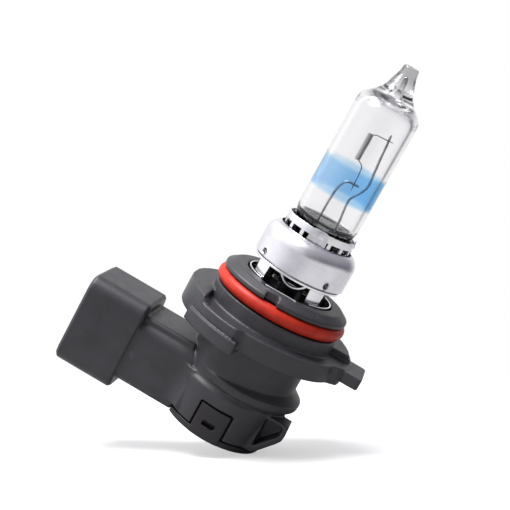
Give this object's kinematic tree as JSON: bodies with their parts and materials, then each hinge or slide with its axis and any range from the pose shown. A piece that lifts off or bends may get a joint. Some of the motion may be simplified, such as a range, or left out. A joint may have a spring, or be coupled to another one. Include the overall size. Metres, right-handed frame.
{
  "type": "headlight bulb",
  "caption": "Right-angle halogen headlamp bulb: clear capsule with a light blue band in a steel holder, on a lugged black base with a red seal ring and a side connector.",
  "frame": {"origin": "on the bulb axis, level with the raised lugs' upper faces, which seat the bulb in the lamp", "axes": "+Z along the bulb axis towards the glass tip, -X towards the connector mouth, +X towards the key tab"},
  "size_m": [0.049, 0.0306, 0.0737],
  "materials": {
    "quartz_glass": "clear polished quartz with a light blue interference band",
    "tungsten_wire": "dark drawn tungsten and molybdenum wire",
    "satin_steel": "satin pressed stainless strip",
    "tinned_brass": "stamped, lightly tinned brass",
    "base_plastic": "fine-textured glass-filled charcoal moulding",
    "seal_rubber": "lubricated red silicone rubber"
  },
  "bodies": {
    "root": {"glass_envelope": "quartz_glass", "filament_coil": "tungsten_wire", "long_support_post": "tungsten_wire", "short_support_post": "tungsten_wire", "pinch_foil_left": "tungsten_wire", "pinch_foil_right": "tungsten_wire", "lead_pin_left": "tungsten_wire", "lead_pin_right": "tungsten_wire", "capsule_clip": "satin_steel", "focus_can": "satin_steel", "carrier_ring": "satin_steel", "retaining_loop": "satin_steel", "insert_ring": "satin_steel", "base_housing": "base_plastic", "o_ring": "seal_rubber", "bottom_cover": "base_plastic", "terminal_upper": "tinned_brass", "terminal_lower": "tinned_brass"}
  },
  "joints": []
}
